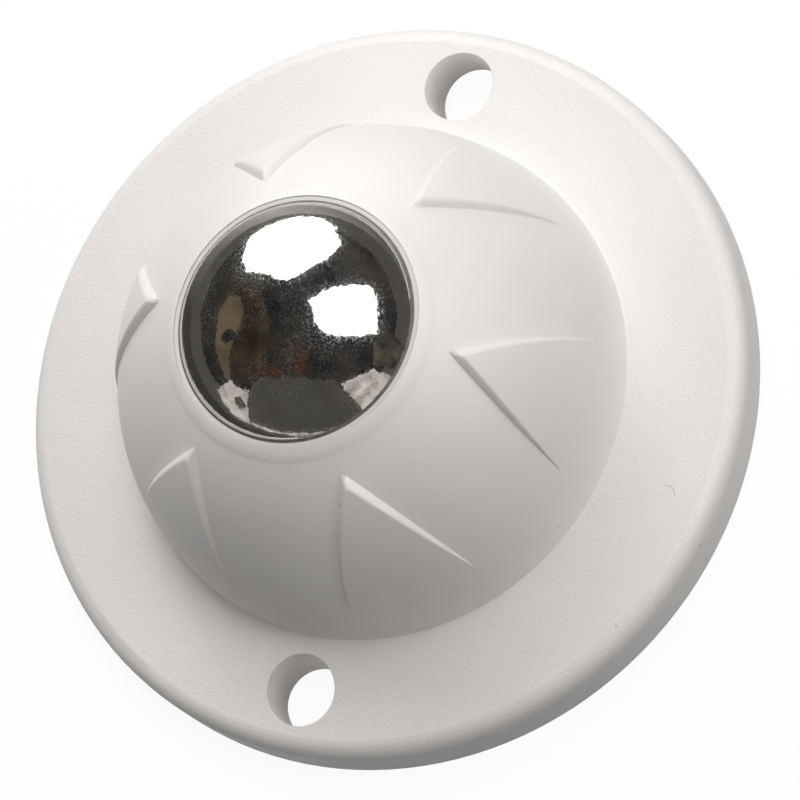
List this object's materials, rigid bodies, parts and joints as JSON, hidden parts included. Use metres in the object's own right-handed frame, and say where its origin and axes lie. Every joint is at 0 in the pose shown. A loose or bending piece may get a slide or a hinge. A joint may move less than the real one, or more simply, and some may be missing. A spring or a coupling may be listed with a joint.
{
  "type": "ball transfer unit",
  "caption": "Flange-mounted ball transfer unit: a chromed steel ball on a bed of load balls in a white moulded housing with a round flange.",
  "frame": {"origin": "centre of the flange's underside, on the ball's axis", "axes": "+Z out of the mounting surface through the ball's centre, +X through one screw hole, +Y across"},
  "size_m": [0.045, 0.045, 0.0224],
  "materials": {
    "base_plastic": "coarse spark-eroded grain",
    "cap_plastic": "fine matte grain",
    "retainer_plastic": "smooth satin",
    "race_steel": "pressed and hardened",
    "ball_steel": "bright plated, with small marks",
    "load_ball_steel": "polished"
  },
  "bodies": {
    "housing": {"base": "base_plastic", "race_cup": "race_steel", "ball_retainer": "retainer_plastic", "cap": "cap_plastic"},
    "load_balls": {"load_ball_01": "load_ball_steel", "load_ball_02": "load_ball_steel", "load_ball_03": "load_ball_steel", "load_ball_04": "load_ball_steel", "load_ball_05": "load_ball_steel", "load_ball_06": "load_ball_steel", "load_ball_07": "load_ball_steel", "load_ball_08": "load_ball_steel", "load_ball_09": "load_ball_steel", "load_ball_10": "load_ball_steel", "load_ball_11": "load_ball_steel", "load_ball_12": "load_ball_steel", "load_ball_13": "load_ball_steel", "load_ball_14": "load_ball_steel", "load_ball_15": "load_ball_steel", "load_ball_16": "load_ball_steel", "load_ball_17": "load_ball_steel", "load_ball_18": "load_ball_steel", "load_ball_19": "load_ball_steel", "load_ball_20": "load_ball_steel", "load_ball_21": "load_ball_steel", "load_ball_22": "load_ball_steel", "load_ball_23": "load_ball_steel", "load_ball_24": "load_ball_steel", "load_ball_25": "load_ball_steel", "load_ball_26": "load_ball_steel", "load_ball_27": "load_ball_steel", "load_ball_28": "load_ball_steel", "load_ball_29": "load_ball_steel", "load_ball_30": "load_ball_steel", "load_ball_31": "load_ball_steel", "load_ball_32": "load_ball_steel", "load_ball_33": "load_ball_steel", "load_ball_34": "load_ball_steel"},
    "ball": {"main_ball": "ball_steel"}
  },
  "joints": [
    {"name": "load_ball_orbit", "type": "hinge", "parent": "housing", "child": "load_balls", "pos_m": [0, 0, 0.0145], "axis": [0, 0, 1], "continuous": true},
    {"name": "ball_roll", "type": "hinge", "parent": "load_balls", "child": "ball", "pos_m": [0, 0, 0.0145], "axis": [1, 0, 0], "continuous": true}
  ]
}
